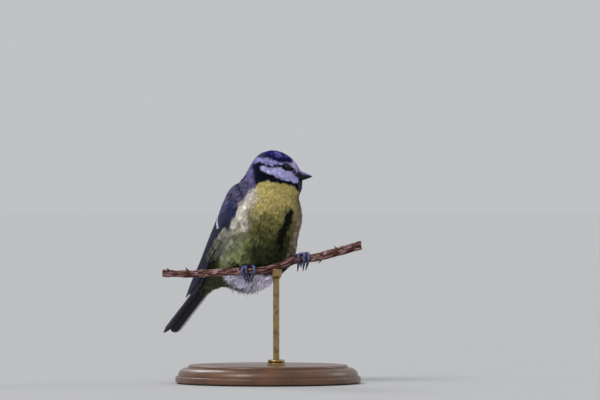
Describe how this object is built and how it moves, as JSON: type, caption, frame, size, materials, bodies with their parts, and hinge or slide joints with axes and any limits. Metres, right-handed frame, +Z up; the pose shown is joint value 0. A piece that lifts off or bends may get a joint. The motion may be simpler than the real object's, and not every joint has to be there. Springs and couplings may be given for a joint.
{
  "type": "blue tit model on a twig perch with a display stand",
  "caption": "Life-size blue tit, breast turned to the viewer and head in profile, gripping a cut twig that a short rod holds over a round base.",
  "frame": {"origin": "middle of the flat underside of the round base", "axes": "+Z up, +X along the twig towards its thicker end, -Y towards the viewer of the near side"},
  "size_m": [0.0985, 0.0979, 0.1131],
  "materials": {
    "plumage_yellow": "soft feathers, sulphur yellow to olive",
    "plumage_green": "soft feathers, grey green",
    "plumage_blue": "soft feathers, blue, white and blue black",
    "wing_feathers": "smooth vanes, slate with blue edges",
    "tail_feathers": "smooth vanes, slate grey",
    "bill_horn": "dark horn, satin",
    "leg_skin": "blue grey scaled skin",
    "eye": "dark brown, wet gloss",
    "bark": "reddish brown bark with pale flakes",
    "base_wood": "turned hardwood, satin varnish",
    "brass": "brushed, satin"
  },
  "bodies": {
    "root": {"bird_head": "plumage_blue", "bird_neck": "plumage_blue", "bird_breast": "plumage_yellow", "bird_belly": "plumage_yellow", "bird_rump": "plumage_green", "bird_tail": "tail_feathers", "bird_wing_left": "wing_feathers", "bird_wing_right": "wing_feathers", "bird_bill_upper": "bill_horn", "bird_bill_lower": "bill_horn", "bird_eye_left": "eye", "bird_eye_right": "eye", "bird_leg_left": "leg_skin", "bird_leg_right": "leg_skin", "bird_claw_left_1": "bill_horn", "bird_claw_left_2": "bill_horn", "bird_claw_left_3": "bill_horn", "bird_claw_left_4": "bill_horn", "bird_claw_right_1": "bill_horn", "bird_claw_right_2": "bill_horn", "bird_claw_right_3": "bill_horn", "bird_claw_right_4": "bill_horn", "perch_twig": "bark", "stand_base": "base_wood", "stand_collar": "brass", "stand_rod": "brass", "stand_cup": "brass"}
  },
  "joints": []
}
